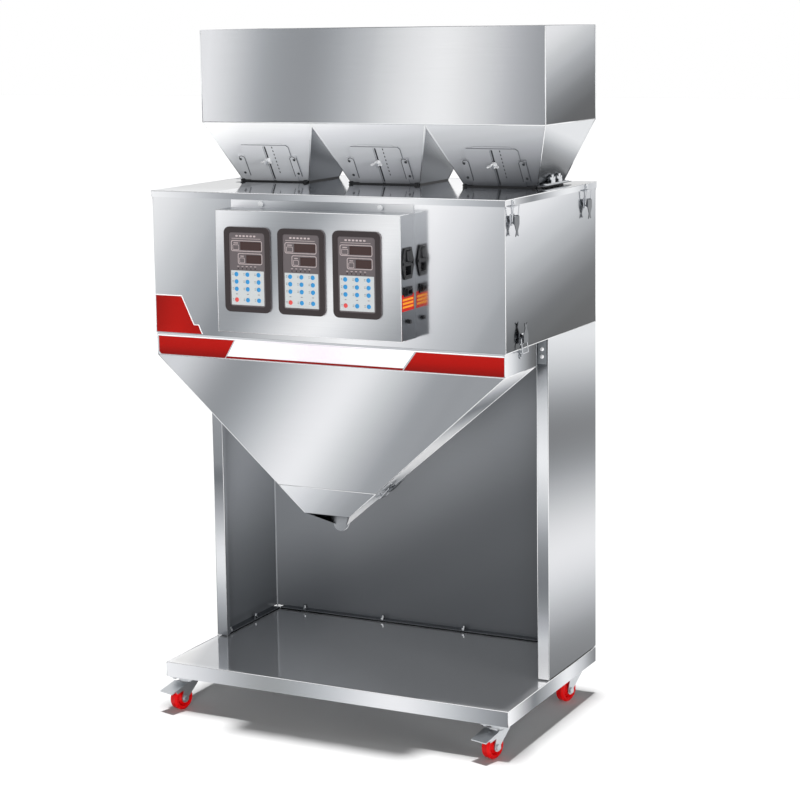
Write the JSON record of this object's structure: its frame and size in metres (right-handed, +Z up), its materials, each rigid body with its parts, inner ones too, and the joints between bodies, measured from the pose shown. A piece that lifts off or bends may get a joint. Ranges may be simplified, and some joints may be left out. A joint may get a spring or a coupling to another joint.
{
  "type": "packaging machine",
  "caption": "Vibratory weigh filler in stainless steel: hopper with gated chutes, weigh housing with control box, inverted funnel and nozzle over a tray on casters",
  "frame": {"origin": "bounding box bottom centre, on the floor under the machine", "axes": "+Z up, -Y towards the operator, +X to the right as seen from the front"},
  "size_m": [0.8004, 0.532, 1.413],
  "materials": {
    "stainless_sheet": "satin",
    "mirror_sheet": "polished",
    "bright_steel": "polished",
    "zinc_steel": "satin",
    "dark_plastic": "satin",
    "display_glass": "gloss",
    "pale_film": "satin",
    "black_plastic": "satin",
    "grey_casting": "satin",
    "aluminium_block": "satin",
    "red_tyre": "satin"
  },
  "bodies": {
    "machine": {"base_tray": "stainless_sheet", "stand_side_panels": "stainless_sheet", "stand_back_panel": "stainless_sheet", "stand_fixings": "bright_steel", "caster_mounts": "zinc_steel", "housing_shell": "stainless_sheet", "feeder_deck": "stainless_sheet", "latch_bases": "bright_steel", "control_box": "stainless_sheet", "panel_bezels": "dark_plastic", "display_windows": "display_glass", "keypad_membranes": "pale_film", "side_sockets": "black_plastic", "drive_units": "grey_casting", "load_cells": "aluminium_block", "weigh_bucket_left": "stainless_sheet", "weigh_bucket_middle": "stainless_sheet", "weigh_bucket_right": "stainless_sheet"},
    "hopper": {"lid_cover": "mirror_sheet", "storage_hopper": "stainless_sheet", "hopper_fittings": "bright_steel"},
    "funnel": {"collecting_funnel": "stainless_sheet"},
    "nozzle": {"outlet_nozzle": "stainless_sheet"},
    "rocker": {"rocker_switch": "black_plastic"},
    "fork_front_left": {"caster_fork_front_left": "zinc_steel"},
    "wheel_front_left": {"caster_wheel_front_left": "red_tyre"},
    "brake_front_left": {"caster_brake_front_left": "zinc_steel"},
    "fork_front_right": {"caster_fork_front_right": "zinc_steel"},
    "wheel_front_right": {"caster_wheel_front_right": "red_tyre"},
    "brake_front_right": {"caster_brake_front_right": "zinc_steel"},
    "fork_rear_left": {"caster_fork_rear_left": "zinc_steel"},
    "wheel_rear_left": {"caster_wheel_rear_left": "red_tyre"},
    "fork_rear_right": {"caster_fork_rear_right": "zinc_steel"},
    "wheel_rear_right": {"caster_wheel_rear_right": "red_tyre"},
    "trough_left": {"feed_trough_left": "stainless_sheet"},
    "door_left": {"bucket_door_left": "stainless_sheet"},
    "gate_left": {"gate_plate_left": "stainless_sheet"},
    "wing_nut_left": {"gate_wing_nut_left": "bright_steel"},
    "trough_middle": {"feed_trough_middle": "stainless_sheet"},
    "door_middle": {"bucket_door_middle": "stainless_sheet"},
    "gate_middle": {"gate_plate_middle": "stainless_sheet"},
    "wing_nut_middle": {"gate_wing_nut_middle": "bright_steel"},
    "trough_right": {"feed_trough_right": "stainless_sheet"},
    "door_right": {"bucket_door_right": "stainless_sheet"},
    "gate_right": {"gate_plate_right": "stainless_sheet"},
    "wing_nut_right": {"gate_wing_nut_right": "bright_steel"},
    "lid_latch_front_left_lever": {"lid_latch_lever_front_left": "bright_steel"},
    "lid_latch_front_left_bail": {"lid_latch_bail_front_left": "bright_steel"},
    "lid_latch_front_right_lever": {"lid_latch_lever_front_right": "bright_steel"},
    "lid_latch_front_right_bail": {"lid_latch_bail_front_right": "bright_steel"},
    "lid_latch_rear_left_lever": {"lid_latch_lever_rear_left": "bright_steel"},
    "lid_latch_rear_left_bail": {"lid_latch_bail_rear_left": "bright_steel"},
    "lid_latch_rear_right_lever": {"lid_latch_lever_rear_right": "bright_steel"},
    "lid_latch_rear_right_bail": {"lid_latch_bail_rear_right": "bright_steel"},
    "funnel_latch_left_lever": {"funnel_latch_lever_left": "bright_steel"},
    "funnel_latch_left_bail": {"funnel_latch_bail_left": "bright_steel"},
    "funnel_latch_right_lever": {"funnel_latch_lever_right": "bright_steel"},
    "funnel_latch_right_bail": {"funnel_latch_bail_right": "bright_steel"},
    "nozzle_latch_lever": {"nozzle_latch_lever": "bright_steel"},
    "nozzle_latch_bail": {"nozzle_latch_bail": "bright_steel"}
  },
  "joints": [
    {"name": "swivel_front_left", "type": "hinge", "parent": "machine", "child": "fork_front_left", "pos_m": [-0.357, -0.172, 0.063], "axis": [0, 0, 1], "continuous": true},
    {"name": "roll_front_left", "type": "hinge", "parent": "fork_front_left", "child": "wheel_front_left", "pos_m": [-0.36251, -0.19123, 0.025], "axis": [0.9613, -0.2756, 0], "continuous": true},
    {"name": "brake_press_front_left", "type": "hinge", "parent": "fork_front_left", "child": "brake_front_left", "pos_m": [-0.35884, -0.17841, 0.0522], "axis": [0.9613, -0.2756, 0], "range_deg": [0, 5]},
    {"name": "swivel_front_right", "type": "hinge", "parent": "machine", "child": "fork_front_right", "pos_m": [0.357, -0.172, 0.063], "axis": [0, 0, 1], "continuous": true},
    {"name": "roll_front_right", "type": "hinge", "parent": "fork_front_right", "child": "wheel_front_right", "pos_m": [0.35149, -0.19123, 0.025], "axis": [0.9613, -0.2756, 0], "continuous": true},
    {"name": "brake_press_front_right", "type": "hinge", "parent": "fork_front_right", "child": "brake_front_right", "pos_m": [0.35516, -0.17841, 0.0522], "axis": [0.9613, -0.2756, 0], "range_deg": [0, 5]},
    {"name": "swivel_rear_left", "type": "hinge", "parent": "machine", "child": "fork_rear_left", "pos_m": [-0.357, 0.209, 0.063], "axis": [0, 0, 1], "continuous": true},
    {"name": "roll_rear_left", "type": "hinge", "parent": "fork_rear_left", "child": "wheel_rear_left", "pos_m": [-0.36251, 0.18977, 0.025], "axis": [0.9613, -0.2756, 0], "continuous": true},
    {"name": "swivel_rear_right", "type": "hinge", "parent": "machine", "child": "fork_rear_right", "pos_m": [0.357, 0.209, 0.063], "axis": [0, 0, 1], "continuous": true},
    {"name": "roll_rear_right", "type": "hinge", "parent": "fork_rear_right", "child": "wheel_rear_right", "pos_m": [0.35149, 0.18977, 0.025], "axis": [0.9613, -0.2756, 0], "continuous": true},
    {"name": "trough_shake_left", "type": "slide", "parent": "machine", "child": "trough_left", "axis": [0, 1, 0], "range_m": [-0.0008, 0.0008], "stiffness_N_per_m": 20000},
    {"name": "door_open_left", "type": "hinge", "parent": "machine", "child": "door_left", "pos_m": [-0.26, -0.082, 0.892], "axis": [1, 0, 0], "range_deg": [0, 70]},
    {"name": "gate_lift_left", "type": "slide", "parent": "hopper", "child": "gate_left", "axis": [0, -0.5264, 0.8503], "range_m": [0, 0.045]},
    {"name": "wing_nut_turn_left", "type": "hinge", "parent": "hopper", "child": "wing_nut_left", "pos_m": [-0.26, 0.04147, 1.13776], "axis": [0, -0.8503, -0.5264], "range_deg": [0, 180]},
    {"name": "trough_shake_middle", "type": "slide", "parent": "machine", "child": "trough_middle", "axis": [0, 1, 0], "range_m": [-0.0008, 0.0008], "stiffness_N_per_m": 20000},
    {"name": "door_open_middle", "type": "hinge", "parent": "machine", "child": "door_middle", "pos_m": [0, -0.082, 0.892], "axis": [1, 0, 0], "range_deg": [0, 70]},
    {"name": "gate_lift_middle", "type": "slide", "parent": "hopper", "child": "gate_middle", "axis": [0, -0.5264, 0.8503], "range_m": [0, 0.045]},
    {"name": "wing_nut_turn_middle", "type": "hinge", "parent": "hopper", "child": "wing_nut_middle", "pos_m": [0, 0.04147, 1.13776], "axis": [0, -0.8503, -0.5264], "range_deg": [0, 180]},
    {"name": "trough_shake_right", "type": "slide", "parent": "machine", "child": "trough_right", "axis": [0, 1, 0], "range_m": [-0.0008, 0.0008], "stiffness_N_per_m": 20000},
    {"name": "door_open_right", "type": "hinge", "parent": "machine", "child": "door_right", "pos_m": [0.26, -0.082, 0.892], "axis": [1, 0, 0], "range_deg": [0, 70]},
    {"name": "gate_lift_right", "type": "slide", "parent": "hopper", "child": "gate_right", "axis": [0, -0.5264, 0.8503], "range_m": [0, 0.045]},
    {"name": "wing_nut_turn_right", "type": "hinge", "parent": "hopper", "child": "wing_nut_right", "pos_m": [0.26, 0.04147, 1.13776], "axis": [0, -0.8503, -0.5264], "range_deg": [0, 180]},
    {"name": "lid_lift", "type": "slide", "parent": "machine", "child": "hopper", "axis": [0, 0, 1], "range_m": [0, 0.25]},
    {"name": "funnel_drop", "type": "slide", "parent": "machine", "child": "funnel", "axis": [0, 0, -1], "range_m": [0, 0.18]},
    {"name": "nozzle_drop", "type": "slide", "parent": "funnel", "child": "nozzle", "axis": [0, 0, -1], "range_m": [0, 0.12]},
    {"name": "rocker_tilt", "type": "hinge", "parent": "machine", "child": "rocker", "pos_m": [0.202, -0.235, 0.984], "axis": [0, 1, 0], "range_deg": [0, 9.5]},
    {"name": "lid_latch_front_left_open", "type": "hinge", "parent": "machine", "child": "lid_latch_front_left_lever", "pos_m": [-0.3955, -0.168, 1.058], "axis": [0, 1, 0], "range_deg": [0, 100]},
    {"name": "lid_latch_front_left_bail_turn", "type": "hinge", "parent": "lid_latch_front_left_lever", "child": "lid_latch_front_left_bail", "pos_m": [-0.3955, -0.168, 1.05], "axis": [0, 1, 0], "range_deg": [-85, 0]},
    {"name": "lid_latch_front_right_open", "type": "hinge", "parent": "machine", "child": "lid_latch_front_right_lever", "pos_m": [0.3955, -0.168, 1.058], "axis": [0, -1, 0], "range_deg": [0, 100]},
    {"name": "lid_latch_front_right_bail_turn", "type": "hinge", "parent": "lid_latch_front_right_lever", "child": "lid_latch_front_right_bail", "pos_m": [0.3955, -0.168, 1.05], "axis": [0, -1, 0], "range_deg": [-85, 0]},
    {"name": "lid_latch_rear_left_open", "type": "hinge", "parent": "machine", "child": "lid_latch_rear_left_lever", "pos_m": [-0.3955, 0.207, 1.058], "axis": [0, 1, 0], "range_deg": [0, 100]},
    {"name": "lid_latch_rear_left_bail_turn", "type": "hinge", "parent": "lid_latch_rear_left_lever", "child": "lid_latch_rear_left_bail", "pos_m": [-0.3955, 0.207, 1.05], "axis": [0, 1, 0], "range_deg": [-85, 0]},
    {"name": "lid_latch_rear_right_open", "type": "hinge", "parent": "machine", "child": "lid_latch_rear_right_lever", "pos_m": [0.3955, 0.207, 1.058], "axis": [0, -1, 0], "range_deg": [0, 100]},
    {"name": "lid_latch_rear_right_bail_turn", "type": "hinge", "parent": "lid_latch_rear_right_lever", "child": "lid_latch_rear_right_bail", "pos_m": [0.3955, 0.207, 1.05], "axis": [0, -1, 0], "range_deg": [-85, 0]},
    {"name": "funnel_latch_left_open", "type": "hinge", "parent": "machine", "child": "funnel_latch_left_lever", "pos_m": [-0.3955, -0.128, 0.815], "axis": [0, -1, 0], "range_deg": [0, 100]},
    {"name": "funnel_latch_left_bail_turn", "type": "hinge", "parent": "funnel_latch_left_lever", "child": "funnel_latch_left_bail", "pos_m": [-0.3955, -0.128, 0.823], "axis": [0, -1, 0], "range_deg": [-85, 0]},
    {"name": "funnel_latch_right_open", "type": "hinge", "parent": "machine", "child": "funnel_latch_right_lever", "pos_m": [0.3955, -0.128, 0.815], "axis": [0, 1, 0], "range_deg": [0, 100]},
    {"name": "funnel_latch_right_bail_turn", "type": "hinge", "parent": "funnel_latch_right_lever", "child": "funnel_latch_right_bail", "pos_m": [0.3955, -0.128, 0.823], "axis": [0, 1, 0], "range_deg": [-85, 0]},
    {"name": "nozzle_latch_open", "type": "hinge", "parent": "funnel", "child": "nozzle_latch_lever", "pos_m": [0.1184, -0.15996, 0.50755], "axis": [0, 1, 0], "range_deg": [0, 100]},
    {"name": "nozzle_latch_bail_turn", "type": "hinge", "parent": "nozzle_latch_lever", "child": "nozzle_latch_bail", "pos_m": [0.12437, -0.15996, 0.51287], "axis": [0, 1, 0], "range_deg": [-85, 0]}
  ],
  "couplings": [
    {"joint": "lid_latch_front_left_bail_turn", "follows": "lid_latch_front_left_open", "ratio": -0.85},
    {"joint": "lid_latch_front_right_bail_turn", "follows": "lid_latch_front_right_open", "ratio": -0.85},
    {"joint": "lid_latch_rear_left_bail_turn", "follows": "lid_latch_rear_left_open", "ratio": -0.85},
    {"joint": "lid_latch_rear_right_bail_turn", "follows": "lid_latch_rear_right_open", "ratio": -0.85},
    {"joint": "funnel_latch_left_bail_turn", "follows": "funnel_latch_left_open", "ratio": -0.85},
    {"joint": "funnel_latch_right_bail_turn", "follows": "funnel_latch_right_open", "ratio": -0.85},
    {"joint": "nozzle_latch_bail_turn", "follows": "nozzle_latch_open", "ratio": -0.85}
  ]
}
